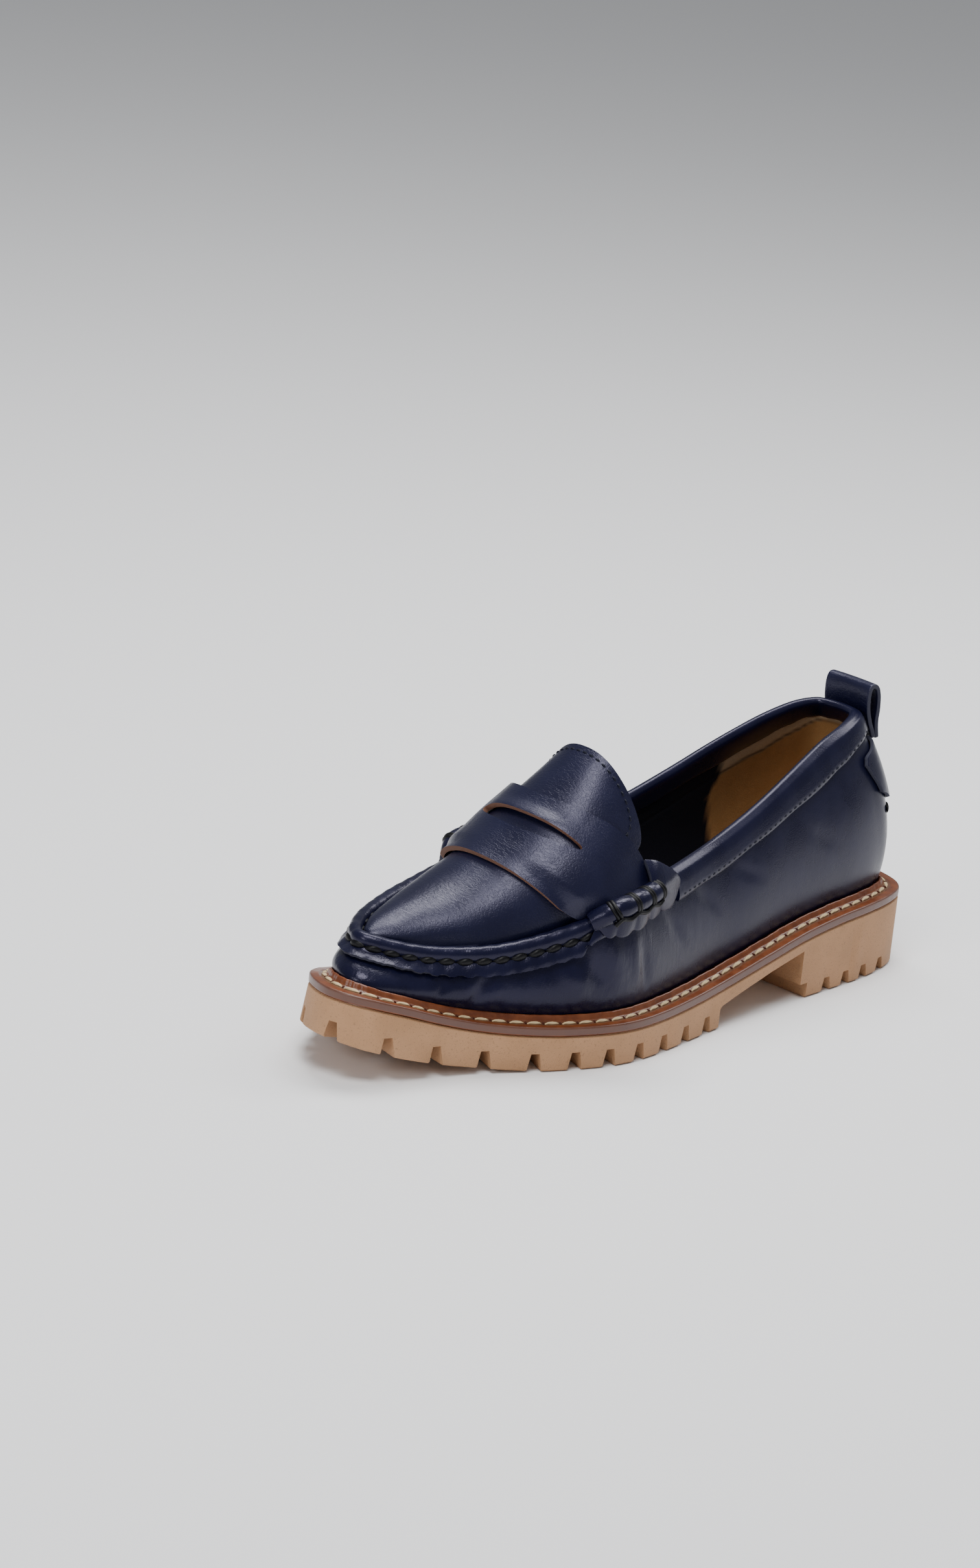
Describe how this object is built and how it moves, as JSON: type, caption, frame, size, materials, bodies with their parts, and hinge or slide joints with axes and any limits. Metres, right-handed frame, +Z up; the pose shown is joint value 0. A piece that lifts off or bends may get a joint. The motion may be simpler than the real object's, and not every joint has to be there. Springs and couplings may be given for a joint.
{
  "type": "loafer shoe",
  "caption": "Left-foot slip-on loafer with a hollow leather upper, saddle strap, rolled side seams, heel pull loop and a lugged rubber sole on a stitched welt.",
  "frame": {"origin": "Under the middle of the shoe's bounding box, on the floor.", "axes": "+X to the outer side of the foot, -Y to the toe, +Y to the heel, +Z up."},
  "size_m": [0.0938, 0.2686, 0.1007],
  "materials": {
    "rubber": "matt",
    "welt_leather": "satin",
    "footbed": "matt",
    "navy_leather": "gloss"
  },
  "bodies": {
    "root": {"outsole": "rubber", "welt": "welt_leather", "insole": "footbed", "upper": "navy_leather", "tongue": "navy_leather", "saddle_strap": "navy_leather", "roll_outer": "navy_leather", "roll_inner": "navy_leather", "tab_outer": "navy_leather", "tab_inner": "navy_leather", "collar_binding": "navy_leather", "heel_patch": "navy_leather", "pull_loop": "navy_leather"}
  },
  "joints": []
}
